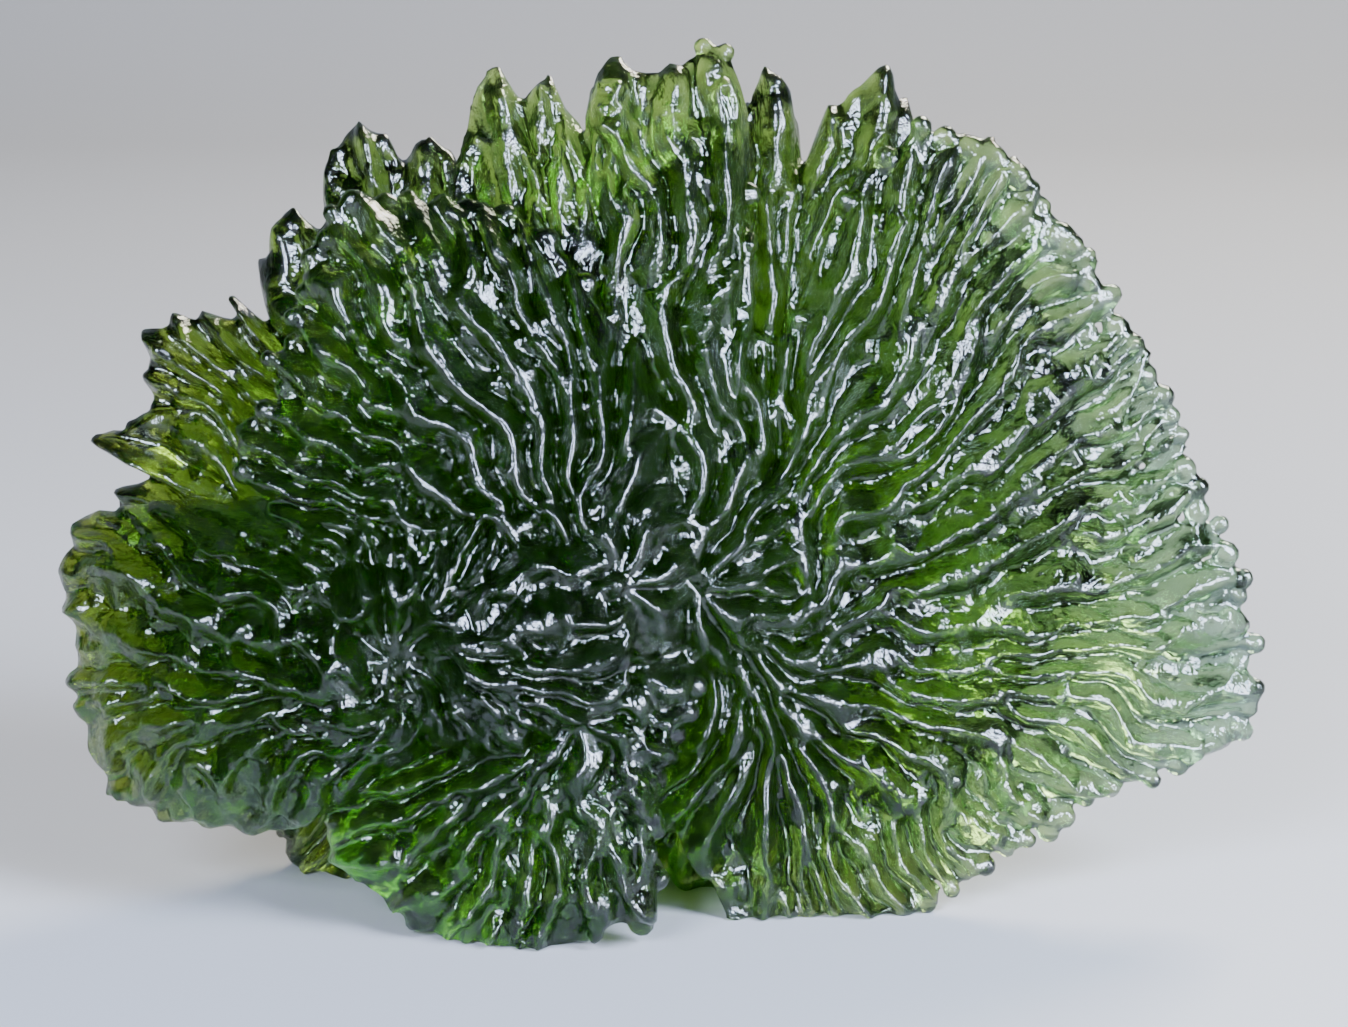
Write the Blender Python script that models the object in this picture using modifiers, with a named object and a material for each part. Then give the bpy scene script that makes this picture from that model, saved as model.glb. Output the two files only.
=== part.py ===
"""Moldavite: one natural piece of green glass, standing on its lower rim.

The stone is a rosette of leaf-like plates that grew into each other. Each plate starts as a UV sphere with
its poles on the front and back faces, so that its meridians run out from the plate's root to the rim, the
way the real ridges do. The sphere is pressed flat, stretched to the plate's outline and folded into ridges
that fork on their way out. A voxel remesh fuses the plates into the one solid that the real stone is.

Row frame: X to the right, Y away from the viewer, Z up, with the origin under the middle of the stone.
"""

import math

import bmesh
import bpy
import numpy as np
from mathutils import Matrix, Vector, noise

STONE_WIDTH = 0.030
DRAWN_WIDTH = 30.3
TO_METRES = STONE_WIDTH / DRAWN_WIDTH

# The sizes below are drawn in millimetres on a stone DRAWN_WIDTH wide, and TO_METRES scales them.
FOLD_SPACING = 1.7
FOLD_HEIGHT = 0.32
FOLD_START = 1.2
FORK_AT = 0.35
FORK_LENGTH = 0.3
TOOTH = 0.03
MEANDER_SIZE = 2.6
MEANDER = 0.42
PIT_RIM = 0.3

MERIDIANS = 168
PARALLELS = 40
FUSE_VOXEL = 0.22
TRIANGLE_LIMIT = 9700
FOOT_DEPTH = 0.35
FOOT_SIDE = 60.0

GREEN_GLASS = (0.045, 0.12, 0.02, 1.0)
GLASS_ROUGHNESS = 0.14
GLASS_IOR = 1.49

# One entry for each plate, front ones first.
#   root      where its ridges start: x, y, z
#   lean      how far back it leans for each millimetre to the right, and for each millimetre up
#   cup       how far the rim curls away from the viewer (towards the viewer when negative)
#   thick     half its thickness at the root and near the rim
#   pit       the radius and depth of a round pit in its front at the root, where it has one
#   outline   its rim in the front view, x and z, anticlockwise or clockwise round the root
PLATES = {
    "right_fan": {
        "root": (2.2, -0.6, 7.9),
        "lean": (0.12, 0.10),
        "cup": -0.6,
        "thick": (1.5, 0.55),
        "outline": [
            (3.5, 15.4), (4.3, 17.9), (5.3, 19.2), (6.6, 20.2), (7.2, 20.2), (8.1, 19.8), (8.9, 19.5),
            (9.7, 18.2), (10.5, 17.3), (11.4, 16.0), (12.2, 14.7), (12.8, 13.1), (13.5, 11.6),
            (14.1, 10.1), (14.7, 9.0), (14.9, 7.3), (15.4, 5.4), (14.4, 4.3), (12.7, 3.7), (11.3, 3.2),
            (9.8, 2.4), (8.3, 1.5), (7.0, 0.6), (5.3, 0.1), (3.6, 0.4), (2.3, -0.3), (1.4, 1.2),
            (0.3, 2.6), (-1.4, 5.2), (-1.8, 8.4), (-0.6, 11.6), (1.8, 13.4),
        ],
    },
    "top_fan": {
        "root": (1.0, -1.6, 9.3),
        "lean": (0.0, 0.16),
        "cup": 0.3,
        "thick": (2.0, 0.7),
        "outline": [
            (-1.8, 19.7), (-1.8, 21.0), (-1.2, 22.3), (-0.4, 21.7), (0.3, 21.6), (1.1, 22.2),
            (1.8, 21.9), (2.3, 20.8), (2.3, 18.4), (2.4, 15.0), (3.3, 11.0), (2.8, 7.6), (0.8, 6.4),
            (-1.6, 7.4), (-2.2, 10.5), (-2.2, 15.5),
        ],
    },
    "top_left": {
        "root": (-0.9, -1.6, 10.5),
        "lean": (-0.05, 0.22),
        "cup": 0.3,
        "thick": (1.8, 0.6),
        "outline": [
            (-5.0, 19.2), (-4.6, 20.8), (-4.0, 21.8), (-3.3, 20.8), (-2.7, 21.5), (-2.2, 20.6),
            (-1.7, 20.0), (-1.0, 17.0), (0.6, 12.0), (-0.4, 8.6), (-3.4, 9.6), (-5.8, 14.6),
        ],
    },
    "upper_left": {
        "root": (-0.9, -3.0, 9.7),
        "lean": (0.02, 0.10),
        "cup": 0.7,
        "thick": (2.3, 0.65),
        "outline": [
            (-10.3, 13.1), (-9.2, 13.8), (-9.4, 14.9), (-8.9, 15.5), (-8.5, 17.0), (-7.8, 18.5),
            (-7.3, 18.9), (-6.2, 18.6), (-4.9, 18.6), (-3.2, 18.2), (-1.3, 16.0), (0.6, 12.0),
            (1.2, 9.2), (0.4, 7.2), (-2.4, 6.6), (-5.8, 8.0), (-8.9, 10.0), (-9.9, 11.6),
        ],
    },
    "lower_left": {
        "root": (-6.2, -3.2, 7.9),
        "lean": (-0.40, 0.08),
        "cup": 0.1,
        "thick": (2.8, 0.9),
        "pit": (1.7, 1.1),
        "outline": [
            (-10.6, 10.9), (-12.3, 10.9), (-14.7, 10.2), (-15.2, 8.4), (-14.7, 7.1), (-15.0, 5.9),
            (-14.5, 4.5), (-14.0, 3.3), (-12.5, 2.7), (-10.8, 2.6), (-9.4, 2.7), (-7.7, 3.7),
            (-6.4, 4.8), (-5.2, 5.4), (-2.4, 6.0), (-0.6, 7.4), (-0.8, 10.0), (-3.6, 11.6),
            (-6.6, 12.0), (-9.0, 11.4),
        ],
    },
    "bottom_leaf": {
        "root": (-1.9, -2.8, 6.4),
        "lean": (-0.20, 0.17),
        "cup": -0.3,
        "thick": (2.2, 0.8),
        "outline": [
            (-6.8, 7.2), (-7.2, 5.2), (-7.9, 3.9), (-8.3, 3.0), (-8.1, 2.0), (-7.3, 1.4), (-6.1, 0.6),
            (-4.9, 0.1), (-3.6, -0.2), (-2.4, 0.1), (-1.3, 0.8), (0.0, 1.0), (-0.1, 3.0), (0.0, 4.6),
            (0.6, 5.8), (1.0, 7.0), (-0.4, 8.8), (-2.6, 9.4), (-5.0, 8.8),
        ],
    },
    "rear_left": {
        "root": (-4.6, 3.0, 8.4),
        "lean": (-0.05, -0.02),
        "cup": -0.8,
        "thick": (3.0, 0.8),
        "outline": [
            (-14.2, 10.2), (-13.1, 11.0), (-14.6, 11.8), (-12.9, 12.6), (-13.2, 14.7), (-12.1, 15.2),
            (-11.3, 16.1), (-10.6, 15.1), (-9.8, 14.8), (-10.2, 16.3), (-9.3, 18.1), (-8.5, 17.2),
            (-8.3, 19.6), (-6.9, 20.2), (-6.4, 19.0), (-5.6, 20.1), (-4.9, 18.8), (-2.6, 17.2),
            (-0.4, 12.0), (0.4, 7.0), (0.2, 1.6), (-1.2, -0.3), (-4.2, -0.2), (-6.8, 0.6), (-8.4, -0.3),
            (-9.6, 0.4), (-10.4, 3.4), (-12.4, 5.6), (-12.6, 8.6),
        ],
    },
    "rear_top": {
        "root": (2.4, 2.2, 9.6),
        "lean": (-0.04, 0.06),
        "cup": -0.6,
        "thick": (2.9, 0.7),
        "outline": [
            (2.2, 20.6), (2.7, 21.5), (3.4, 21.0), (3.7, 19.0), (4.3, 20.6), (5.1, 21.1), (5.8, 21.5),
            (6.6, 20.2), (8.4, 17.2), (10.4, 13.0), (11.0, 9.0), (9.4, 5.2), (7.2, 3.0), (4.6, 2.6),
            (3.0, 0.2), (0.8, -0.2), (-0.8, 2.4), (-2.6, 7.4), (-2.4, 13.5), (-0.2, 18.6), (1.1, 19.2),
        ],
    },
    "core": {
        "root": (-1.2, 1.3, 8.9),
        "lean": (0.0, 0.0),
        "cup": 0.0,
        "thick": (3.7, 1.5),
        "outline": [
            (-8.4, 12.2), (-4.6, 16.0), (0.6, 16.6), (4.6, 13.6), (6.0, 9.4), (4.6, 5.6), (1.8, 4.2),
            (-2.4, 3.4), (-7.0, 4.2), (-9.0, 8.0),
        ],
    },
    "rear_leaf": {
        "root": (0.6, 4.6, 6.0),
        "lean": (0.05, -0.10),
        "cup": -1.2,
        "thick": (2.0, 0.7),
        "outline": [
            (-4.4, 8.6), (-3.2, 11.8), (-1.4, 13.0), (0.2, 12.4), (1.8, 13.4), (4.0, 12.0), (5.2, 9.4),
            (6.6, 7.4), (6.0, 5.0), (4.6, 3.4), (3.4, 1.6), (1.0, 0.6), (-1.2, 1.6), (-3.4, 3.2),
            (-4.0, 5.4),
        ],
    },
}


def clear_scene():
    for old in list(bpy.data.objects):
        bpy.data.objects.remove(old)


def collection_named(name):
    made = bpy.data.collections.new(name)
    bpy.context.scene.collection.children.link(made)
    return made


def green_glass():
    material = bpy.data.materials.new("green_glass")
    material.use_nodes = True
    shader = material.node_tree.nodes["Principled BSDF"]
    shader.inputs["Base Color"].default_value = GREEN_GLASS
    shader.inputs["Metallic"].default_value = 0.0
    shader.inputs["Roughness"].default_value = GLASS_ROUGHNESS
    shader.inputs["IOR"].default_value = GLASS_IOR
    return material


def rim_distance(outline, root, angles):
    """How far the rim lies from the root in each direction, read from the outline's corners."""
    corners = np.array(outline) - np.array((root[0], root[2]))
    turn = np.arctan2(corners[:, 1], corners[:, 0])
    order = np.argsort(turn)
    return np.interp(angles, turn[order], np.hypot(*corners[order].T), period=math.tau)


def folds(angles, reach):
    """Ridges that fork on their way out, so that they keep about FOLD_SPACING between them: -1 to 1."""
    doublings = np.log2(np.maximum(reach, FOLD_START) / FOLD_START)
    level = np.floor(doublings)
    fork = np.clip((doublings - level - FORK_AT) / FORK_LENGTH, 0.0, 1.0)
    fork = fork * fork * (3.0 - 2.0 * fork)
    first = np.round(math.tau * FOLD_START / FOLD_SPACING) * 2.0
    inner = np.cos(first * 2.0**level * angles)
    outer = np.cos(first * 2.0 ** (level + 1.0) * angles)
    inner = np.where(level >= 1.0, -inner, inner)
    return (1.0 - fork) * inner - fork * outer


def pit_relief(reach, radius, depth):
    """A round pit with a raised rim, as a height at each distance from its middle."""
    bowl = -depth * np.exp(-((reach / (0.55 * radius)) ** 2))
    rim = PIT_RIM * np.exp(-(((reach - radius) / (0.3 * radius)) ** 2))
    return bowl + rim


def wavering(points, size, seed):
    """Smooth noise of that size, in -1 to 1, at each point."""
    offset = Vector((seed, -seed, 0.5 * seed))
    return np.array([noise.noise(Vector(p) / size + offset) for p in points])


def shaped_plate(plate, seed):
    """A UV sphere with its poles to the front and back, pressed and stretched to one plate, as a mesh."""
    work = bmesh.new()
    bmesh.ops.create_uvsphere(work, u_segments=MERIDIANS, v_segments=PARALLELS, radius=1.0)
    ball = np.array([v.co for v in work.verts])
    east, up, front = ball[:, 0], ball[:, 1], ball[:, 2]
    angles = np.arctan2(up, east)
    share = np.clip(np.arccos(np.clip(np.abs(front), 0.0, 1.0)) / (0.5 * math.pi), 0.0, 1.0)

    root = np.array(plate["root"])
    reach = share * rim_distance(plate["outline"], plate["root"], angles)
    meander = wavering(
        np.column_stack([reach * np.cos(angles), reach * np.sin(angles), 2.0 * np.sign(front)]),
        MEANDER_SIZE,
        seed,
    )
    bent = angles + MEANDER * meander / np.maximum(reach, FOLD_START)
    ridge = folds(bent, reach)

    root_half, rim_half = plate["thick"]
    half = rim_half * np.sqrt(1.0 - share**6) + (root_half - rim_half) * (1.0 - share**2) ** 1.2
    relief = FOLD_HEIGHT * ridge * np.clip(reach / FOLD_SPACING, 0.0, 1.0) * np.sqrt(1.0 - share**6)
    if "pit" in plate:
        relief = relief + np.where(front > 0.0, pit_relief(reach, *plate["pit"]), 0.0)
    reach = reach * (1.0 + TOOTH * ridge * share**4)

    across = reach * np.cos(angles)
    upward = reach * np.sin(angles)
    middle = plate["lean"][0] * across + plate["lean"][1] * upward + plate["cup"] * share**2
    depth = middle - np.sign(front) * (half + relief)
    placed = root + np.column_stack([across, depth, upward])
    for vert, point in zip(work.verts, placed * TO_METRES):
        vert.co = point
    bmesh.ops.recalc_face_normals(work, faces=work.faces)
    mesh = bpy.data.meshes.new("plate")
    work.to_mesh(mesh)
    work.free()
    return mesh


def joined(meshes, name):
    work = bmesh.new()
    for mesh in meshes:
        work.from_mesh(mesh)
        bpy.data.meshes.remove(mesh)
    whole = bpy.data.meshes.new(name)
    work.to_mesh(whole)
    work.free()
    return whole


def with_modifiers_applied(obj):
    """Replaces the object's mesh by its evaluated one, and clears its modifiers."""
    graph = bpy.context.evaluated_depsgraph_get()
    done = bpy.data.meshes.new_from_object(obj.evaluated_get(graph))
    obj.modifiers.clear()
    obj.data = done


def keep_largest_body(mesh):
    """Drops the small closed bubbles that a remesh leaves where the plates almost meet."""
    work = bmesh.new()
    work.from_mesh(mesh)
    waiting = set(work.verts)
    bodies = []
    while waiting:
        front = [waiting.pop()]
        body = list(front)
        while front:
            near = {e.other_vert(v) for v in front for e in v.link_edges} & waiting
            waiting -= near
            front = list(near)
            body += front
        bodies.append(body)
    bodies.sort(key=len)
    bmesh.ops.delete(work, geom=[v for body in bodies[:-1] for v in body], context="VERTS")
    work.to_mesh(mesh)
    work.free()


def fused(obj):
    """Makes the overlapping plates one closed skin."""
    remesh = obj.modifiers.new("fuse_plates", "REMESH")
    remesh.mode = "VOXEL"
    remesh.voxel_size = FUSE_VOXEL * TO_METRES
    remesh.adaptivity = 0.0
    with_modifiers_applied(obj)
    keep_largest_body(obj.data)
    smooth = obj.modifiers.new("ease_voxel_steps", "SMOOTH")
    smooth.factor = 0.5
    smooth.iterations = 1
    with_modifiers_applied(obj)


def thinned(obj):
    """Brings the skin under the triangle limit, keeping triangles where it bends most."""
    obj.data.calc_loop_triangles()
    fewer = obj.modifiers.new("fewer_triangles", "DECIMATE")
    fewer.ratio = TRIANGLE_LIMIT / len(obj.data.loop_triangles)
    fewer.use_collapse_triangulate = True
    with_modifiers_applied(obj)


def foot_trimmed(obj, ground_below):
    """Rubs the lowest tips down to the small flat spots that the stone stands on."""
    bpy.ops.mesh.primitive_cube_add(size=FOOT_SIDE * TO_METRES)
    ground = bpy.context.object
    ground.name = "ground_cutter"
    ground.location.z = (FOOT_DEPTH - 0.5 * FOOT_SIDE) * TO_METRES
    ground.hide_render = True
    ground.display_type = "WIRE"
    for home in list(ground.users_collection):
        home.objects.unlink(ground)
    ground_below.objects.link(ground)
    trim = obj.modifiers.new("flat_spots", "BOOLEAN")
    trim.operation = "DIFFERENCE"
    trim.solver = "EXACT"
    trim.object = ground
    with_modifiers_applied(obj)


def centred_on_ground(mesh):
    """Moves the stone so that the origin is under the middle of its box, on the surface it stands on."""
    corners = np.array([v.co for v in mesh.vertices])
    low, high = corners.min(0), corners.max(0)
    middle = 0.5 * (low + high)
    mesh.transform(Matrix.Translation((-middle[0], -middle[1], -low[2])))


clear_scene()
stone_parts = collection_named("moldavite_stone")
cutters = collection_named("cutters")

plate_meshes = [shaped_plate(plate, seed) for seed, plate in enumerate(PLATES.values())]
moldavite = bpy.data.objects.new("moldavite", joined(plate_meshes, "moldavite"))
stone_parts.objects.link(moldavite)
fused(moldavite)
thinned(moldavite)
foot_trimmed(moldavite, cutters)
centred_on_ground(moldavite.data)
moldavite.data.materials.clear()
moldavite.data.materials.append(green_glass())
moldavite.data.shade_smooth()
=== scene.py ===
import math

import bmesh
import bpy
import numpy as np
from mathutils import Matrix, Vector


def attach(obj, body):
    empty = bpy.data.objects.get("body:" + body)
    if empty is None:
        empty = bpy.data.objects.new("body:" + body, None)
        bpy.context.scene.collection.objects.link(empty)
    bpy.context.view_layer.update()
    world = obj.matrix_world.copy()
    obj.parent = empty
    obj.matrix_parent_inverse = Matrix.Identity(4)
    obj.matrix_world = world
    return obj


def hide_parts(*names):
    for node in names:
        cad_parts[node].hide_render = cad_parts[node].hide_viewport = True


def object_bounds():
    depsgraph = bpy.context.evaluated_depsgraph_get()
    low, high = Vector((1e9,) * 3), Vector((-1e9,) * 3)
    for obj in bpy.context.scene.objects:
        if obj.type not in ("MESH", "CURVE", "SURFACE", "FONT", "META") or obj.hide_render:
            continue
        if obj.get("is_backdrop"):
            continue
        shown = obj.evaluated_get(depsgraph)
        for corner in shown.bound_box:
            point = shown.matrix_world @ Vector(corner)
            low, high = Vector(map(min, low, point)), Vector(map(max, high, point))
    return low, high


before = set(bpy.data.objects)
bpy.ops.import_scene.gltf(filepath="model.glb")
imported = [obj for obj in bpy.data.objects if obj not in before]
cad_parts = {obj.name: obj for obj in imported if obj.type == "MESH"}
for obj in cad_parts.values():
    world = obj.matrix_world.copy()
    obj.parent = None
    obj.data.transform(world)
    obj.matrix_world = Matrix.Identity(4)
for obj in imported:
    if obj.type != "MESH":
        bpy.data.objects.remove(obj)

cad_low, cad_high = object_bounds()

# The stone is one natural piece of impact glass, moldavite, with leaf-like plates that meet in a core.
# Ground water etched it into long pits with sharp crests between, which run out from each plate's root.
# Nothing holds it: it stands on the lowest spots of its rims. Its sizes are in millimetres.

MM = 0.001

# One entry for each plate, in the drawing's frame: X to the right, Y away from the viewer, Z up.
#   root      where its crests start
#   lean      how far back it leans for each millimetre to the right, and for each millimetre up
#   cup       how far the rim curls away from the viewer
#   thick     half its thickness at the root and near the rim
#   pits      width and length of the pits in its faces
#   ribs      how smooth its large folds stay on top, as ribs between the pits: 0 to 1
#   knobs     how strongly the skin between the ribs breaks up into knobs
#   crater    radius and depth of the round crater in its front, where it has one
#   outline   its rim in the front view, x and z
PLATES = {
    "right_fan": {
        "root": (2.2, -0.6, 7.9),
        "lean": (0.12, 0.10),
        "cup": -0.6,
        "thick": (1.6, 0.36),
        "pits": (0.95, 3.2),
        "ribs": 0.5,
        "knobs": 0.8,
        "outline": [
            (3.5, 15.4), (4.3, 17.9), (5.3, 19.2), (6.6, 20.2), (7.2, 20.2), (8.1, 19.8), (8.9, 19.5),
            (9.7, 18.2), (10.5, 17.3), (11.4, 16.0), (12.2, 14.7), (12.8, 13.1), (13.5, 11.6),
            (14.1, 10.1), (14.7, 9.0), (14.9, 7.3), (15.4, 5.4), (14.4, 4.3), (12.7, 3.7), (11.3, 3.2),
            (9.8, 2.4), (8.3, 1.5), (7.0, 0.6), (5.3, 0.1), (3.6, 0.4), (2.3, -0.3), (1.4, 1.2),
            (0.3, 2.6), (-1.4, 5.2), (-1.8, 8.4), (-0.6, 11.6), (1.8, 13.4),
        ],
    },
    "top_fan": {
        "root": (1.0, -1.6, 9.3),
        "lean": (0.0, 0.16),
        "cup": 0.3,
        "thick": (2.0, 0.7),
        "pits": (1.1, 3.6),
        "ribs": 0.85,
        "knobs": 1.0,
        "outline": [
            (-1.8, 19.7), (-1.8, 21.0), (-1.1, 21.9), (-0.4, 21.6), (0.3, 21.6), (1.1, 22.2),
            (1.8, 21.9), (2.3, 20.8), (2.3, 18.4), (2.4, 15.0), (3.3, 11.0), (2.8, 7.6), (0.8, 6.4),
            (-1.6, 7.4), (-2.2, 10.5), (-2.2, 15.5),
        ],
    },
    "top_left": {
        "root": (-0.9, -1.6, 10.5),
        "lean": (-0.05, 0.22),
        "cup": 0.3,
        "thick": (1.8, 0.6),
        "pits": (1.0, 3.2),
        "ribs": 0.7,
        "knobs": 1.0,
        "outline": [
            (-5.0, 19.2), (-4.6, 20.8), (-4.0, 21.8), (-3.3, 20.8), (-2.7, 21.5), (-2.2, 20.6),
            (-1.7, 20.0), (-1.0, 17.0), (0.6, 12.0), (-0.4, 8.6), (-3.4, 9.6), (-5.8, 14.6),
        ],
    },
    "upper_left": {
        "root": (-0.9, -3.0, 9.7),
        "lean": (0.02, 0.10),
        "cup": 0.7,
        "thick": (2.3, 0.65),
        "pits": (0.95, 2.6),
        "ribs": 0.85,
        "knobs": 1.2,
        "outline": [
            (-10.3, 13.1), (-9.2, 13.8), (-9.4, 14.9), (-8.9, 15.5), (-8.5, 17.0), (-7.8, 18.5),
            (-7.3, 18.9), (-6.2, 18.6), (-4.9, 18.6), (-3.2, 18.2), (-1.3, 16.0), (0.6, 12.0),
            (1.2, 9.2), (0.4, 7.2), (-2.4, 6.6), (-5.8, 8.0), (-8.9, 10.0), (-9.9, 11.6),
        ],
    },
    "lower_left": {
        "root": (-6.2, -3.2, 7.9),
        "lean": (-0.40, 0.08),
        "cup": 0.1,
        "thick": (2.8, 0.9),
        "crater": (1.7, 1.1),
        "pits": (0.9, 1.6),
        "ribs": 0.1,
        "knobs": 1.2,
        "outline": [
            (-10.6, 10.9), (-12.3, 10.9), (-14.7, 10.2), (-15.2, 8.4), (-14.7, 7.1), (-15.0, 5.9),
            (-14.5, 4.5), (-14.0, 3.3), (-12.5, 2.7), (-10.8, 2.6), (-9.4, 2.7), (-7.7, 3.7),
            (-6.4, 4.8), (-5.2, 5.4), (-2.4, 6.0), (-0.6, 7.4), (-0.8, 10.0), (-3.6, 11.6),
            (-6.6, 12.0), (-9.0, 11.4),
        ],
    },
    "bottom_leaf": {
        "root": (-1.9, -2.8, 6.4),
        "lean": (-0.20, 0.17),
        "cup": -0.3,
        "thick": (2.2, 0.8),
        "pits": (0.85, 1.8),
        "ribs": 0.2,
        "knobs": 1.1,
        "outline": [
            (-6.8, 7.2), (-7.2, 5.2), (-7.9, 3.9), (-8.3, 3.0), (-8.1, 2.0), (-7.3, 1.4), (-6.1, 0.6),
            (-4.9, 0.1), (-3.6, -0.2), (-2.4, 0.1), (-1.3, 0.8), (0.0, 1.0), (-0.1, 3.0), (0.0, 4.6),
            (0.6, 5.8), (1.0, 7.0), (-0.4, 8.8), (-2.6, 9.4), (-5.0, 8.8),
        ],
    },
    "rear_left": {
        "root": (-4.6, 3.0, 8.4),
        "lean": (-0.05, -0.02),
        "cup": -0.8,
        "thick": (3.0, 0.8),
        "pits": (1.0, 2.4),
        "ribs": 0.3,
        "knobs": 0.8,
        "outline": [
            (-14.2, 10.2), (-13.1, 11.0), (-14.6, 11.8), (-12.9, 12.6), (-13.2, 14.7), (-12.1, 15.2),
            (-11.3, 16.1), (-10.6, 15.1), (-9.8, 14.8), (-10.2, 16.3), (-9.3, 18.1), (-8.5, 17.2),
            (-8.3, 19.6), (-6.9, 20.2), (-6.4, 19.0), (-5.6, 20.1), (-4.9, 18.8), (-2.6, 17.2),
            (-0.4, 12.0), (0.4, 7.0), (0.2, 1.6), (-1.2, -0.3), (-4.2, -0.2), (-6.8, 0.6), (-8.4, -0.3),
            (-9.6, 0.4), (-10.4, 3.4), (-12.4, 5.6), (-12.6, 8.6),
        ],
    },
    "rear_top": {
        "root": (2.4, 2.2, 9.6),
        "lean": (-0.04, 0.06),
        "cup": -0.6,
        "thick": (2.9, 0.7),
        "pits": (0.95, 3.0),
        "ribs": 0.4,
        "knobs": 0.8,
        "outline": [
            (2.2, 20.6), (2.7, 21.5), (3.4, 21.0), (3.7, 19.0), (4.3, 20.6), (5.1, 21.1), (5.8, 21.5),
            (6.6, 20.2), (8.4, 17.2), (10.4, 13.0), (11.0, 9.0), (9.4, 5.2), (7.2, 3.0), (4.6, 2.6),
            (3.0, 0.2), (0.8, -0.2), (-0.8, 2.4), (-2.6, 7.4), (-2.4, 13.5), (-0.2, 18.6), (1.1, 19.2),
        ],
    },
    "core": {
        "root": (-1.2, 1.3, 8.9),
        "lean": (0.0, 0.0),
        "cup": 0.0,
        "thick": (3.7, 1.5),
        "pits": (1.0, 3.0),
        "ribs": 0.0,
        "knobs": 0.0,
        "outline": [
            (-8.4, 12.2), (-4.6, 16.0), (0.6, 16.6), (4.6, 13.6), (6.0, 9.4), (4.6, 5.6), (1.8, 4.2),
            (-2.4, 3.4), (-7.0, 4.2), (-9.0, 8.0),
        ],
    },
    "rear_leaf": {
        "root": (0.6, 4.6, 6.0),
        "lean": (0.05, -0.10),
        "cup": -1.2,
        "thick": (2.0, 0.7),
        "pits": (0.9, 2.2),
        "ribs": 0.3,
        "knobs": 0.9,
        "outline": [
            (-4.4, 8.6), (-3.2, 11.8), (-1.4, 13.0), (0.2, 12.4), (1.8, 13.4), (4.0, 12.0), (5.2, 9.4),
            (6.6, 7.4), (6.0, 5.0), (4.6, 3.4), (3.4, 1.6), (1.0, 0.6), (-1.2, 1.6), (-3.4, 3.2),
            (-4.0, 5.4),
        ],
    },
}


def rim_distance(plate, angles):
    """How far the rim lies from the root in each direction."""
    corners = np.array(plate["outline"]) - np.array((plate["root"][0], plate["root"][2]))
    turn = np.arctan2(corners[:, 1], corners[:, 0])
    order = np.argsort(turn)
    return np.interp(angles, turn[order], np.hypot(*corners[order].T), period=math.tau)


# Each pattern has random draws of its own on each plate: its number here is added to the plate's.
DRAWS = {
    "meander": 0,
    "wobble": 50,
    "forks": 100,
    "ridged": 150,
    "back_pits": 200,
    "front_pits": 250,
    "fine_pits": 300,
    "knobs": 400,
    "beads": 500,
}

# Smooth variation is a sum of WAVES waves. A wave at rate 1 is twice as long as the size asked for.
WAVES = 9
WAVE_RATES = (0.6, 1.4)


def wavering(points, size, seed):
    """Smooth variation about that size across, near -1 to 1: the sum of a few waves in drawn directions."""
    draw = np.random.default_rng(seed)
    total = np.zeros(len(points))
    for _ in range(WAVES):
        heading = draw.normal(size=points.shape[1])
        heading *= draw.uniform(*WAVE_RATES) * math.tau / (2.0 * size * np.linalg.norm(heading))
        total += np.sin(points @ heading + draw.uniform(0.0, math.tau))
    return total / math.sqrt(WAVES)


# The large folds start at FOLD_START from the root. Each forks once while the distance doubles, so they
# stay about 0.7 to 1.2 mm apart. FORK_AT and FORK_LENGTH say where in a doubling the fork starts and how
# long it takes, and FORK_WANDER shifts it, in patches of FORK_PATCH, so that no forks line up in rings.
FIRST_FOLDS = 8
FOLD_START = 1.2
FOLD_HEIGHT = 0.29
FORK_AT = 0.35
FORK_LENGTH = 0.3
FORK_WANDER = 0.3
FORK_PATCH = 3.0


def folds(angles, reach, forking):
    """Height of the large folds at each point, -1 to 1."""
    doublings = np.log2(np.maximum(reach, FOLD_START) / FOLD_START) + forking
    doublings = np.maximum(doublings, 0.0)
    level = np.floor(doublings)
    fork = np.clip((doublings - level - FORK_AT) / FORK_LENGTH, 0.0, 1.0)
    fork = fork * fork * (3.0 - 2.0 * fork)
    inner = np.cos(FIRST_FOLDS * 2.0**level * angles)
    outer = np.cos(FIRST_FOLDS * 2.0 ** (level + 1.0) * angles)
    inner = np.where(level >= 1.0, -inner, inner)
    return (1.0 - fork) * inner - fork * outer


# The etched pits lie in rings round the root, each RING_STEP of a pit's length further out than the last.
# SHIFT_ROUND and SHIFT_OUT move each pit from its place, by up to that share of its size. RINGS_DRAWN and
# PITS_DRAWN are more than a plate needs, and FAR_OFF stands for no pit near.
PIT_DEPTH = 0.50
FINE_PIT_DEPTH = 0.18
FINE_PITS = (0.42, 1.1)
PIT_WALL = 0.5
RING_STEP = 0.85
FEWEST_PITS = 5
SHIFT_ROUND = 0.4
SHIFT_OUT = 0.5
RINGS_DRAWN = 64
PITS_DRAWN = 512
FAR_OFF = 9.0


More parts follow.
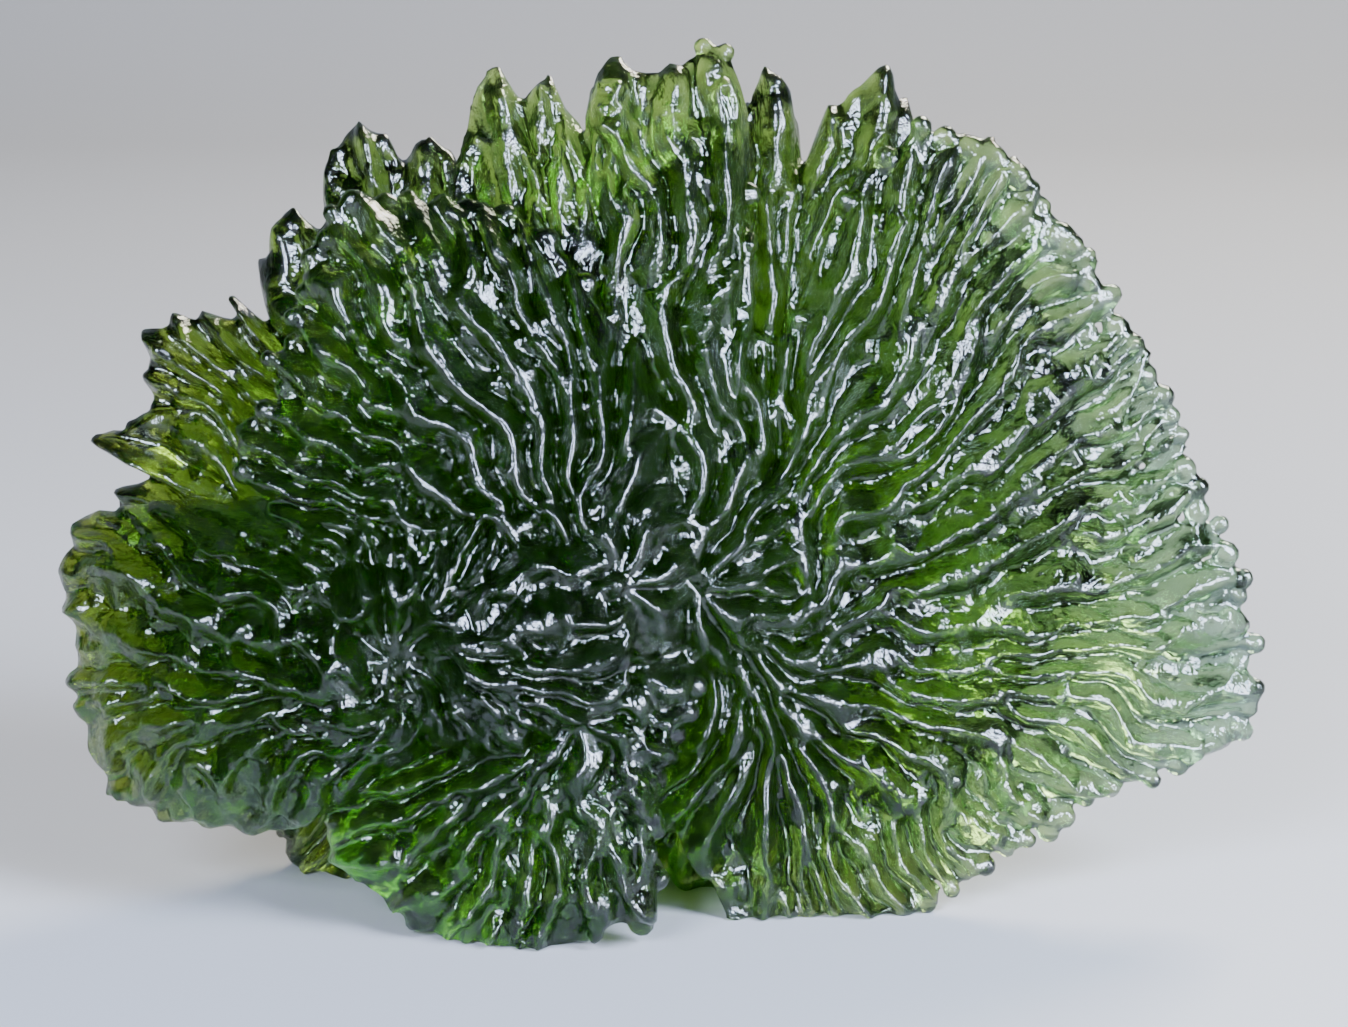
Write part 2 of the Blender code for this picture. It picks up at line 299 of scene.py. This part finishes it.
def long_pits(angles, reach, width, length, wall, seed):
    """Pits that run out from the root: 0 on the crests between them, and 1 along their floors.

    The slope from a floor up to a crest takes wall times the pit's size.
    """
    draw = np.random.default_rng(seed)
    first_turn = draw.uniform(0.0, math.tau, RINGS_DRAWN)
    turn_shift = draw.uniform(-SHIFT_ROUND, SHIFT_ROUND, (RINGS_DRAWN, PITS_DRAWN))
    out_shift = draw.uniform(-SHIFT_OUT, SHIFT_OUT, (RINGS_DRAWN, PITS_DRAWN))
    nearest = np.full(len(reach), FAR_OFF)
    second = np.full(len(reach), FAR_OFF)
    for ring_step in (-1, 0, 1):
        ring = np.floor(reach / (RING_STEP * length)).astype(int) + ring_step
        ring_out = (ring + 0.5) * RING_STEP * length
        count = np.maximum(FEWEST_PITS, np.round(math.tau * ring_out / width)).astype(int)
        slot = np.round((angles - first_turn[ring]) * count / math.tau).astype(int)
        for beside in (-1, 0, 1):
            pit = (slot + beside) % count
            turn = first_turn[ring] + (slot + beside + turn_shift[ring, pit]) * math.tau / count
            out = ring_out + out_shift[ring, pit] * length
            side = (angles - turn) * 0.5 * (reach + out) / width
            gap = np.where(ring >= 0, np.hypot(side, (reach - out) / length), FAR_OFF)
            second = np.minimum(second, np.maximum(nearest, gap))
            nearest = np.minimum(nearest, gap)
    rise = np.clip((second - nearest) / wall, 0.0, 1.0)
    return rise * (2.0 - rise)


# The knobs between the ribs stand one to a cell of a square grid, each at its own spot and of its own
# height. Spot and radius are in cells. The grid repeats after KNOB_CELLS, and the back of a plate reads it
# KNOB_BACK_SHIFT further along.
KNOB_SIZE = 0.45
KNOB_HEIGHT = 0.32
KNOB_CELLS = 64
KNOB_SPOT = (0.1, 0.9)
KNOB_TALL = (0.2, 1.0)
KNOB_RADIUS = 0.62
KNOB_BACK_SHIFT = 40.0


def knobs(across, upward, size, seed):
    """Rounded knobs about that size across, one to a cell: 1 on top of the tallest and 0 between them."""
    draw = np.random.default_rng(seed)
    shift = draw.uniform(*KNOB_SPOT, (KNOB_CELLS, KNOB_CELLS, 2))
    tall = draw.uniform(*KNOB_TALL, (KNOB_CELLS, KNOB_CELLS))
    column, row = across / size, upward / size
    best = np.zeros(len(across))
    for over in (-1, 0, 1):
        for above in (-1, 0, 1):
            i = np.floor(column).astype(int) + over
            j = np.floor(row).astype(int) + above
            cell = (i % KNOB_CELLS, j % KNOB_CELLS)
            spot = shift[cell]
            gap = np.hypot(column - i - spot[:, 0], row - j - spot[:, 1])
            dome = np.sqrt(np.maximum(0.0, 1.0 - (gap / KNOB_RADIUS) ** 2))
            best = np.maximum(best, tall[cell] * dome)
    return best


# The crater's raised rim: its height, and its width as a share of the crater's radius.
CRATER_RIM_HEIGHT = 0.3
CRATER_RIM_WIDTH = 0.22


def crater(reach, radius, depth):
    """A bowl with a raised rim, as a height at each distance from its middle."""
    bowl = -depth * (1.0 - np.clip(reach / radius, 0.0, 1.0) ** 2)
    rim = CRATER_RIM_HEIGHT * np.exp(-(((reach - radius) / (CRATER_RIM_WIDTH * radius)) ** 2))
    return bowl + rim


# Folds and pits run out in a wide meander with a small wobble on it. The waves for the front and the back
# of a plate are read FACE_APART on either side of its middle, so the two faces differ.
MEANDER_SIZE = 2.6
MEANDER = 0.42
WOBBLE_SIZE = 0.9
WOBBLE = 0.13
FACE_APART = 2.0

# In patches of RIDGED_PATCH the skin turns from knobbly to ridged. KNOBBLY holds the share of pit wall,
# pit depth and knob height where it is knobbly, and RIDGED_ADDS what being ridged adds to that share.
# PIT_LEVEL and KNOB_LEVEL are the heights, of 0 to 1, that lie level with the plate's plain face, and
# RIB_LIFT is how much higher the folds are on a plate that is ribbed all over.
RIDGED_PATCH = 2.4
KNOBBLY = {"wall": 0.6, "pits": 0.5, "knobs": 1.4}
RIDGED_ADDS = {"wall": 0.8, "pits": 0.7, "knobs": -0.9}
PIT_LEVEL = 0.35
KNOB_LEVEL = 0.4
RIB_LIFT = 0.5

# A plate thins out from the root, the sooner the higher THINNING_POWER is. Near the rim it rounds off, its
# relief fades and its teeth grow: the higher the other powers, the nearer to the rim that happens.
# Folds, crests and knobs make the teeth, by these shares of TOOTH times the distance from the root.
THINNING_POWER = 1.2
ROUNDING_POWER = 6
FADING_POWER = 14
TOOTH_POWER = 4
TOOTH = 0.022
FOLD_TOOTH = 0.7
CREST_TOOTH = 0.6
KNOB_TOOTH = 0.9
TOOTH_SET_BACK = 0.7


def skin(plate, seed, angles, share, back):
    """Points on a plate's etched skin: in which direction, how far out to the rim, and on which face."""
    reach = share * rim_distance(plate, angles)
    face = np.where(back, -FACE_APART, FACE_APART)
    flat = np.column_stack([reach * np.cos(angles), reach * np.sin(angles), face])
    bend = MEANDER * wavering(flat, MEANDER_SIZE, seed + DRAWS["meander"])
    bend = bend + WOBBLE * wavering(flat, WOBBLE_SIZE, seed + DRAWS["wobble"])
    bent = angles + bend / np.maximum(reach, FOLD_START)
    fold = folds(bent, reach, FORK_WANDER * wavering(flat, FORK_PATCH, seed + DRAWS["forks"]))
    ridged = 0.5 + 0.5 * np.clip(wavering(flat, RIDGED_PATCH, seed + DRAWS["ridged"]), -1.0, 1.0)
    wall = PIT_WALL * (KNOBBLY["wall"] + RIDGED_ADDS["wall"] * ridged)
    crest = 1.0 - np.where(
        back,
        long_pits(bent, reach, *plate["pits"], wall, seed + DRAWS["back_pits"]),
        long_pits(bent, reach, *plate["pits"], wall, seed + DRAWS["front_pits"]),
    )
    fine_crest = 1.0 - long_pits(bent, reach, *FINE_PITS, wall, seed + DRAWS["fine_pits"])
    knob_across = reach * np.cos(bent) + KNOB_BACK_SHIFT * back
    knob = knobs(knob_across, reach * np.sin(bent), KNOB_SIZE, seed + DRAWS["knobs"])

    root_half, rim_half = plate["thick"]
    half = rim_half * np.sqrt(1.0 - share**ROUNDING_POWER)
    half = half + (root_half - rim_half) * (1.0 - share**2) ** THINNING_POWER
    fade = np.clip(reach / FOLD_START, 0.0, 1.0) * np.sqrt(1.0 - share**FADING_POWER)
    relief = PIT_DEPTH * (KNOBBLY["pits"] + RIDGED_ADDS["pits"] * ridged) * (crest - PIT_LEVEL)
    relief = relief + FINE_PIT_DEPTH * (fine_crest - PIT_LEVEL)
    knob_height = KNOB_HEIGHT * (KNOBBLY["knobs"] + RIDGED_ADDS["knobs"] * ridged)
    relief = relief + knob_height * plate["knobs"] * (knob - KNOB_LEVEL)
    relief = relief * (1.0 - plate["ribs"] * (0.5 + 0.5 * fold))
    relief = (relief + FOLD_HEIGHT * (1.0 + RIB_LIFT * plate["ribs"]) * fold) * fade
    if "crater" in plate:
        relief = relief + np.where(back, 0.0, crater(reach, *plate["crater"]))
    teeth = FOLD_TOOTH * fold + CREST_TOOTH * crest + KNOB_TOOTH * knob - TOOTH_SET_BACK
    reach = reach * (1.0 + TOOTH * teeth * share**TOOTH_POWER)

    across = reach * np.cos(angles)
    upward = reach * np.sin(angles)
    middle = plate["lean"][0] * across + plate["lean"][1] * upward + plate["cup"] * share**2
    depth = middle + np.where(back, 1.0, -1.0) * (half + relief)
    return np.array(plate["root"]) + np.column_stack([across, depth, upward])


GRID_STEP = 0.10
RIM_DIRECTIONS = 90


def etched_plate(plate, seed):
    """One plate as a mesh, in metres: rings from its front's middle, over the rim, to its back's middle."""
    span = rim_distance(plate, np.linspace(0.0, math.tau, RIM_DIRECTIONS)).mean()
    columns = round(math.tau * span / GRID_STEP)
    rings = 2 * round(span / GRID_STEP) - 1
    steps = np.arange(1, rings + 1) / (rings + 1)
    share = np.append(np.repeat(1.0 - np.abs(1.0 - 2.0 * steps), columns), (0.0, 0.0))
    turn = np.append(np.tile(np.arange(columns) * math.tau / columns, rings), (0.0, 0.0))
    back = np.append(np.repeat(steps > 0.5, columns), (False, True))
    points = MM * skin(plate, seed, turn, share, back)
    here = np.arange(columns)
    beside = (here + 1) % columns
    faces = []
    quads = np.column_stack([here, here + columns, beside + columns, beside])
    for ring in range(rings - 1):
        faces += (quads + ring * columns).tolist()
    last = (rings - 1) * columns
    faces += np.column_stack([np.full(columns, last + columns), here, beside]).tolist()
    faces += np.column_stack([np.full(columns, last + columns + 1), beside + last, here + last]).tolist()
    mesh = bpy.data.meshes.new("plate")
    mesh.from_pydata(points.tolist(), [], faces)
    return mesh


# Drops of melted glass sit along some rims like a string of beads, and in short rows on the front faces.
# For each plate: its stretch of rim with beads and its stretch with rows, as directions from the root in
# radians, and the number of rows.
BEADED = {
    "right_fan": ((-1.6, 1.4), (-0.9, 0.8), 90),
    "bottom_leaf": ((-1.3, 0.3), (-1.9, 0.2), 24),
    "upper_left": ((1.6, 2.9), (1.4, 3.0), 10),
    "top_fan": ((1.3, 1.6), (1.3, 1.9), 6),
}

# On a rim: the beads' radius, how far out they sit, the step to the next one as a multiple of the radius
# and how much that changes, and the chance that a bead sits on the back face.
RIM_BEAD_RADIUS = (0.22, 0.36)
RIM_BEAD_OUT = (0.985, 1.0)
RIM_BEAD_STEP = 1.9
STEP_CHANGE = (0.95, 1.25)
BACK_CHANCE = 0.5

# In a row: the beads' radius, how far out it starts and may reach, how many beads it has (up to one fewer
# than the second number), their step, and how far they stray from its direction.
ROW_BEAD_RADIUS = (0.11, 0.19)
ROW_STARTS = (0.35, 0.92)
ROW_LIMIT = 0.97
ROW_BEADS = (3, 8)
ROW_BEAD_STEP = 2.2
ROW_WANDER = 0.008


def beads(plate, seed, rim_stretch, row_stretch, rows):
    """The beads of one plate, as a mesh in metres."""
    draw = np.random.default_rng(seed + DRAWS["beads"])
    spots = []
    turn = rim_stretch[0]
    while turn < rim_stretch[1]:
        radius = draw.uniform(*RIM_BEAD_RADIUS)
        spots.append((turn, draw.uniform(*RIM_BEAD_OUT), draw.random() < BACK_CHANCE, radius))
        turn += RIM_BEAD_STEP * radius * draw.uniform(*STEP_CHANGE) / float(rim_distance(plate, turn))
    for _ in range(rows):
        turn = draw.uniform(*row_stretch)
        out = draw.uniform(*ROW_STARTS)
        for _ in range(draw.integers(*ROW_BEADS)):
            radius = draw.uniform(*ROW_BEAD_RADIUS)
            spots.append((turn + draw.normal(0.0, ROW_WANDER), min(out, ROW_LIMIT), False, radius))
            out += ROW_BEAD_STEP * radius / float(rim_distance(plate, turn))
    turns, shares, back, radii = np.array(spots, float).T
    work = bmesh.new()
    for point, radius in zip(skin(plate, seed, turns, shares, back > 0.5), radii):
        made = bmesh.ops.create_icosphere(work, subdivisions=2, radius=radius * MM)
        bmesh.ops.translate(work, verts=made["verts"], vec=point * MM)
    mesh = bpy.data.meshes.new("beads")
    work.to_mesh(mesh)
    work.free()
    return mesh


def applied(obj):
    """Replaces the object's mesh by its evaluated one, and clears its modifiers."""
    graph = bpy.context.evaluated_depsgraph_get()
    done = bpy.data.meshes.new_from_object(obj.evaluated_get(graph))
    obj.modifiers.clear()
    obj.data = done


def points_of(mesh):
    """The mesh's points, one to a row."""
    points = np.empty(3 * len(mesh.vertices))
    mesh.vertices.foreach_get("co", points)
    return points.reshape(-1, 3)


def with_points(mesh, points):
    """Moves the mesh's points there."""
    mesh.vertices.foreach_set("co", points.ravel())
    mesh.update()


# Plates and beads go into one mesh, and the lowest spots are cut level, where the stone stands.
FOOT_DEPTH = 0.35
work = bmesh.new()
for seed, (name, plate) in enumerate(PLATES.items()):
    work.from_mesh(etched_plate(plate, seed))
    if name in BEADED:
        work.from_mesh(beads(plate, seed, *BEADED[name]))
stone_mesh = bpy.data.meshes.new("moldavite_glass")
work.to_mesh(stone_mesh)
work.free()
points = points_of(stone_mesh)
points[:, 2] = np.maximum(points[:, 2], FOOT_DEPTH * MM)
with_points(stone_mesh, points)

# One skin then takes their place, without the walls that they had inside one another. Whatever is loose
# from it, such as bubbles shut in between the plates, goes.
FUSE_VOXEL = 0.08
stone = bpy.data.objects.new("moldavite_glass", stone_mesh)
bpy.context.scene.collection.objects.link(stone)
remesh = stone.modifiers.new("fuse_plates", "REMESH")
remesh.mode = "VOXEL"
remesh.voxel_size = FUSE_VOXEL * MM
applied(stone)
bpy.ops.object.select_all(action="DESELECT")
bpy.context.view_layer.objects.active = stone
stone.select_set(True)
bpy.ops.mesh.separate(type="LOOSE")
bodies = sorted(bpy.context.selected_objects, key=lambda body: len(body.data.vertices))
stone = bodies.pop()
for bubble in bodies:
    bpy.data.objects.remove(bubble)
stone.name = "moldavite_glass"

# The steps that the voxels leave are eased, and flat stretches get fewer triangles.
EASING = 0.5
TRIANGLE_LIMIT = 195000
smooth = stone.modifiers.new("ease_voxel_steps", "SMOOTH")
smooth.factor = EASING
smooth.iterations = 1
applied(stone)
stone.data.calc_loop_triangles()
fewer = stone.modifiers.new("fewer_triangles", "DECIMATE")
fewer.ratio = min(1.0, TRIANGLE_LIMIT / len(stone.data.loop_triangles))
fewer.use_collapse_triangulate = True
applied(stone)

# The stone is set into the size and place of the solid that it replaces.
points = points_of(stone.data)
low, high = points.min(0), points.max(0)
cad_size = np.array(cad_high) - np.array(cad_low)
points = np.array(cad_low) + (points - low) * cad_size / (high - low)
with_points(stone.data, points)
stone.data.shade_smooth()


def linear(hex_colour):
    """An sRGB hex colour as linear red, green, blue and alpha."""
    values = [int(hex_colour[i : i + 2], 16) / 255.0 for i in (1, 3, 5)]
    return (*[v / 12.92 if v <= 0.04045 else ((v + 0.055) / 1.055) ** 2.4 for v in values], 1.0)


def add_node(tree, kind, settings=None, links=None):
    """Adds a node, sets its properties and sockets by name, and links its inputs to other outputs."""
    node = tree.nodes.new(kind)
    for name, value in (settings or {}).items():
        if hasattr(node, name):
            setattr(node, name, value)
        else:
            node.inputs[name].default_value = value
    for name, source in (links or {}).items():
        tree.links.new(source, node.inputs[name])
    return node


# Moldavite is a clear natural glass, melted by an impact and etched by ground water. To the eye it is
# bottle green where it is thick and yellow-green where light comes through, with glossy pits and duller
# crests. The pits are painted darker, as painted shade, and the crests lighter, as a painted highlight.
# The left side is painted in a darker, duller green, as painted shade, and the right rim is paler and
# glossier: partly frosted skin, partly a painted bluish highlight.
# The real skin has a grain under 0.1 mm, which would not show. It is drawn coarser, from 0.28 mm down.
# Of these colours, the pit green is painted shade, the crest green a painted highlight, the left one
# painted shade, and the pale blue-green partly frosted skin, partly a painted highlight.
GLASS_GREENS_AND_PAINTED_LIGHT = {"pit": "#58763A", "crest": "#B2C878", "shaded_olive": "#7C8638", "frost_and_highlight": "#AEC8C4"}
GLASS_IOR = 1.49
DEPTH_COLOUR = "#D7E8B8"
DEPTH_DENSITY = 1100.0
PIT_ROUGHNESS = 0.08
CREST_ROUGHNESS = 0.22
POLISHED = 0.45
CREST_FROM = 0.46
CREST_TO = 0.56
GRAIN_SIZE = 0.28
GRAIN_DETAIL = 3.0
GRAIN_ROUGHNESS = 0.6
GRAIN_HEIGHT = 0.05
FROST_HIGHLIGHT_FROM = 3.0
FROST_HIGHLIGHT_TO = 21.0
SHADED_OLIVE_FROM = -5.0
SHADED_OLIVE_TO = -18.0

glass = bpy.data.materials.new("etched_moldavite_glass")
glass.use_nodes = True
tree = glass.node_tree
tree.nodes.clear()
place = add_node(tree, "ShaderNodeTexCoord").outputs["Object"]
grain = add_node(
    tree,
    "ShaderNodeTexNoise",
    {"Scale": 1.0 / (GRAIN_SIZE * MM), "Detail": GRAIN_DETAIL, "Roughness": GRAIN_ROUGHNESS},
    {"Vector": place},
)
grain_bump = add_node(
    tree,
    "ShaderNodeBump",
    {"Strength": 1.0, "Distance": GRAIN_HEIGHT * MM},
    {"Height": grain.outputs["Fac"]},
)
crest = add_node(
    tree,
    "ShaderNodeMapRange",
    {"From Min": CREST_FROM, "From Max": CREST_TO},
    {"Value": add_node(tree, "ShaderNodeNewGeometry").outputs["Pointiness"]},
)
from_middle = add_node(tree, "ShaderNodeSeparateXYZ", {}, {"Vector": place}).outputs["X"]
# Towards the right rim the skin turns paler and bluish: partly frosted skin, partly a painted highlight.
frost_and_highlight = add_node(
    tree,
    "ShaderNodeMapRange",
    {"interpolation_type": "SMOOTHSTEP", "From Min": FROST_HIGHLIGHT_FROM * MM, "From Max": FROST_HIGHLIGHT_TO * MM},
    {"Value": from_middle},
)
# Towards the left the skin turns a darker, duller green: painted shade.
shaded_olive = add_node(
    tree,
    "ShaderNodeMapRange",
    {"interpolation_type": "SMOOTHSTEP", "From Min": SHADED_OLIVE_FROM * MM, "From Max": SHADED_OLIVE_TO * MM},
    {"Value": from_middle},
)
# Darker in the pits as painted shade, lighter on the crests as a painted highlight.
green = add_node(
    tree,
    "ShaderNodeMixRGB",
    {"Color1": linear(GLASS_GREENS_AND_PAINTED_LIGHT["pit"]), "Color2": linear(GLASS_GREENS_AND_PAINTED_LIGHT["crest"])},
    {"Fac": crest.outputs["Result"]},
)
left_shade_colour = add_node(
    tree,
    "ShaderNodeMixRGB",
    {"Color2": linear(GLASS_GREENS_AND_PAINTED_LIGHT["shaded_olive"])},
    {"Fac": shaded_olive.outputs["Result"], "Color1": green.outputs["Color"]},
)
skin_colour = add_node(
    tree,
    "ShaderNodeMixRGB",
    {"Color2": linear(GLASS_GREENS_AND_PAINTED_LIGHT["frost_and_highlight"])},
    {"Fac": frost_and_highlight.outputs["Result"], "Color1": left_shade_colour.outputs["Color"]},
)
dullness = add_node(
    tree,
    "ShaderNodeMapRange",
    {"To Min": PIT_ROUGHNESS, "To Max": CREST_ROUGHNESS},
    {"Value": crest.outputs["Result"]},
)
polish = add_node(
    tree,
    "ShaderNodeMapRange",
    {"To Min": 1.0, "To Max": POLISHED},
    {"Value": frost_and_highlight.outputs["Result"]},
)
roughness = add_node(
    tree,
    "ShaderNodeMath",
    {"operation": "MULTIPLY"},
    {0: dullness.outputs["Result"], 1: polish.outputs["Result"]},
)
shader = add_node(
    tree,
    "ShaderNodeBsdfPrincipled",
    {"IOR": GLASS_IOR, "Transmission Weight": 1.0},
    {
        "Base Color": skin_colour.outputs["Color"],
        "Roughness": roughness.outputs["Value"],
        "Normal": grain_bump.outputs["Normal"],
    },
)
depth_colour = add_node(
    tree,
    "ShaderNodeVolumeAbsorption",
    {"Color": linear(DEPTH_COLOUR), "Density": DEPTH_DENSITY},
)
add_node(
    tree,
    "ShaderNodeOutputMaterial",
    {},
    {"Surface": shader.outputs["BSDF"], "Volume": depth_colour.outputs["Volume"]},
)
stone.data.materials.clear()
stone.data.materials.append(glass)
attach(stone, "root")
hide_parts("moldavite")

# The floor is a sheet of pale card that lies under the stone and sweeps up behind it, without a crease.
# It is stage, not part of the object. Its sizes, and those of the lights and the camera, are in metres.

FLOOR_NEAR = -0.35
FLOOR_SIDE = 0.7
SWEEP_START = 0.16
SWEEP_RADIUS = 0.12
SWEEP_STEPS = 12
SWEEP_TOP = 0.6
work = bmesh.new()
profile = [(FLOOR_NEAR, 0.0), (SWEEP_START, 0.0)]
for step in range(1, SWEEP_STEPS + 1):
    turn = 0.5 * math.pi * step / SWEEP_STEPS
    profile.append((SWEEP_START + SWEEP_RADIUS * math.sin(turn), SWEEP_RADIUS * (1.0 - math.cos(turn))))
profile.append((SWEEP_START + SWEEP_RADIUS, SWEEP_TOP))
rows = [[work.verts.new((side * FLOOR_SIDE, y, z)) for y, z in profile] for side in (-1.0, 1.0)]
for i in range(len(profile) - 1):
    work.faces.new((rows[0][i], rows[1][i], rows[1][i + 1], rows[0][i + 1]))
floor_mesh = bpy.data.meshes.new("floor")
work.to_mesh(floor_mesh)
work.free()
floor_mesh.shade_smooth()
floor = bpy.data.objects.new("floor", floor_mesh)
bpy.context.scene.collection.objects.link(floor)

# Uncoated card, pressed smooth: a matt pale grey, with soft shadows and hardly a reflection.
CARD_GREY = "#8C8B89"
CARD_ROUGHNESS = 0.6
card = bpy.data.materials.new("pale_card")
card.use_nodes = True
card_shader = card.node_tree.nodes["Principled BSDF"]
card_shader.inputs["Base Color"].default_value = linear(CARD_GREY)
card_shader.inputs["Roughness"].default_value = CARD_ROUGHNESS
floor.data.materials.append(card)
floor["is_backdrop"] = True

# The lights are soft studio panels, 5 to 9 cm wide and 13 to 22 cm from the stone.
# Three bluish ones stand in front, to the right and to the left, and a warm one behind on the right.
# The studio round them gives a faint even light.

STONE_MIDDLE = (0.0, 0.0, 0.010)


def panel(name, place, size, power, hex_colour):
    """A square soft light that faces the stone."""
    light = bpy.data.lights.new(name, "AREA")
    light.size = size
    light.energy = power
    light.color = linear(hex_colour)[:3]
    lamp = bpy.data.objects.new(name, light)
    bpy.context.scene.collection.objects.link(lamp)
    lamp.location = place
    toward = np.array(STONE_MIDDLE) - np.array(place)
    lamp.rotation_euler = (
        math.atan2(math.hypot(toward[0], toward[1]), -toward[2]),
        0.0,
        math.atan2(-toward[0], toward[1]),
    )


panel("key_right", (0.12, -0.11, 0.12), 0.075, 2.0, "#CCDCFF")
panel("front_left", (-0.08, -0.17, 0.09), 0.085, 2.0, "#D0DEFF")
panel("low_right", (0.11, -0.07, 0.03), 0.05, 0.8, "#D8E6FF")
panel("behind", (0.08, 0.14, 0.15), 0.08, 0.9, "#FFF6E4")

STUDIO_GREY = "#AEB4BE"
STUDIO_STRENGTH = 0.04
world = bpy.data.worlds.new("studio")
bpy.context.scene.world = world
world.use_nodes = True
background = world.node_tree.nodes["Background"]
background.inputs["Color"].default_value = linear(STUDIO_GREY)
background.inputs["Strength"].default_value = STUDIO_STRENGTH

# The camera stands 10 cm in front of the stone and a little above it, and looks at its ridged front.
# LENS is its focal length in millimetres, for a picture that the stone nearly fills.

CAMERA_RISE = math.radians(12.0)
CAMERA_DISTANCE = 0.100
CAMERA_TARGET = (0.0003, 0.0, 0.0099)
LENS = 108.16
SENSOR_WIDTH = 36.0
NEAREST = 0.001
camera_data = bpy.data.cameras.new("camera")
camera_data.sensor_width = SENSOR_WIDTH
camera_data.lens = LENS
camera_data.clip_start = NEAREST
camera = bpy.data.objects.new("camera", camera_data)
bpy.context.scene.collection.objects.link(camera)
camera.location = (
    CAMERA_TARGET[0],
    CAMERA_TARGET[1] - CAMERA_DISTANCE * math.cos(CAMERA_RISE),
    CAMERA_TARGET[2] + CAMERA_DISTANCE * math.sin(CAMERA_RISE),
)
camera.rotation_euler = (0.5 * math.pi - CAMERA_RISE, 0.0, 0.0)
bpy.context.scene.camera = camera

low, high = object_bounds()
